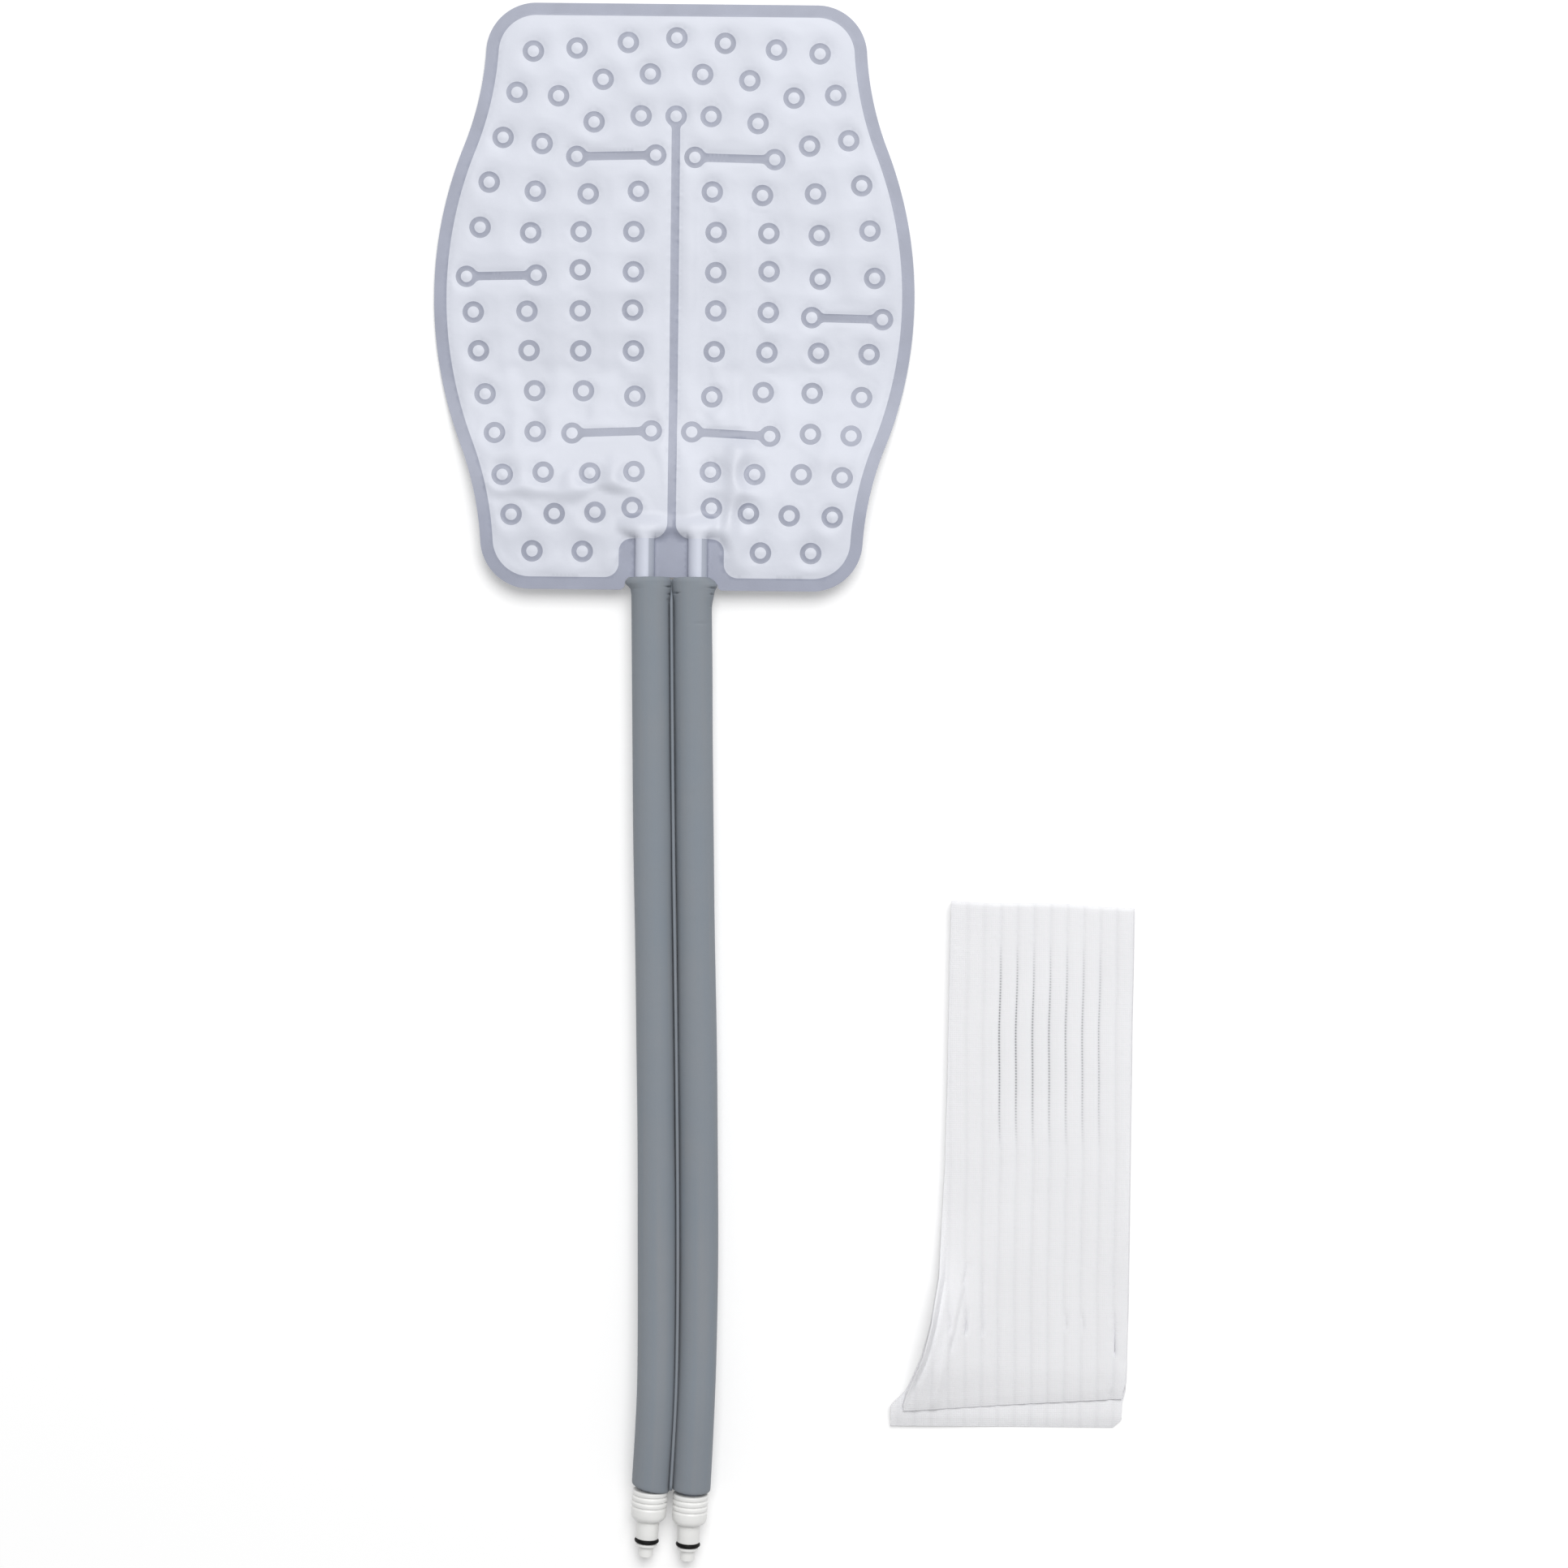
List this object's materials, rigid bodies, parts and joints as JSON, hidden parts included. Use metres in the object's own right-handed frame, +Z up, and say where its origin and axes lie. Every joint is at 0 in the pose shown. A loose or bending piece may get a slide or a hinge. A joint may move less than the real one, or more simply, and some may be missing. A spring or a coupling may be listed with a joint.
{
  "type": "cold therapy pad",
  "caption": "Flat water-circulating hot and cold therapy pad with a bonded pair of foam-insulated hoses, shut-off quick-connect coupling inserts and a folded elastic wrap.",
  "frame": {"origin": "centre of the pad's plan, on the surface that the pad lies on", "axes": "+Y from the origin to the pad's top edge, away from the hoses; +X to the return line's side; +Z up"},
  "size_m": [0.3664, 0.8079, 0.0236],
  "materials": {
    "film": "satin",
    "clear_tube": "gloss",
    "foam": "matte",
    "white_plastic": "satin",
    "black_seal": "satin",
    "spring_steel": "polished",
    "elastic": "matte"
  },
  "bodies": {
    "pad_and_hoses": {"front_film": "film", "back_film": "film", "supply_tube": "clear_tube", "return_tube": "clear_tube", "supply_sleeve": "foam", "return_sleeve": "foam", "sleeve_web": "foam", "supply_coupling_body": "white_plastic", "supply_hose_barb": "white_plastic", "supply_nose_o_ring": "black_seal", "supply_valve_spring": "spring_steel", "return_coupling_body": "white_plastic", "return_hose_barb": "white_plastic", "return_nose_o_ring": "black_seal", "return_valve_spring": "spring_steel"},
    "supply_valve": {"supply_valve_poppet": "white_plastic", "supply_poppet_seal": "black_seal"},
    "return_valve": {"return_valve_poppet": "white_plastic", "return_poppet_seal": "black_seal"},
    "wrap": {"elastic_wrap": "elastic"}
  },
  "joints": [
    {"name": "supply_poppet_slide", "type": "slide", "parent": "pad_and_hoses", "child": "supply_valve", "axis": [0.0674, 0.9922, 0.1051], "range_m": [0, 0.0025], "stiffness_N_per_m": 500, "springref_m": -0.003, "deforming": ["supply_valve_spring"]},
    {"name": "return_poppet_slide", "type": "slide", "parent": "pad_and_hoses", "child": "return_valve", "axis": [0.0482, 0.9934, 0.1044], "range_m": [0, 0.0025], "stiffness_N_per_m": 500, "springref_m": -0.003, "deforming": ["return_valve_spring"]},
    {"name": "wrap_lift", "type": "slide", "parent": "pad_and_hoses", "child": "wrap", "axis": [0, 0, 1], "range_m": [0, 0.25]}
  ]
}
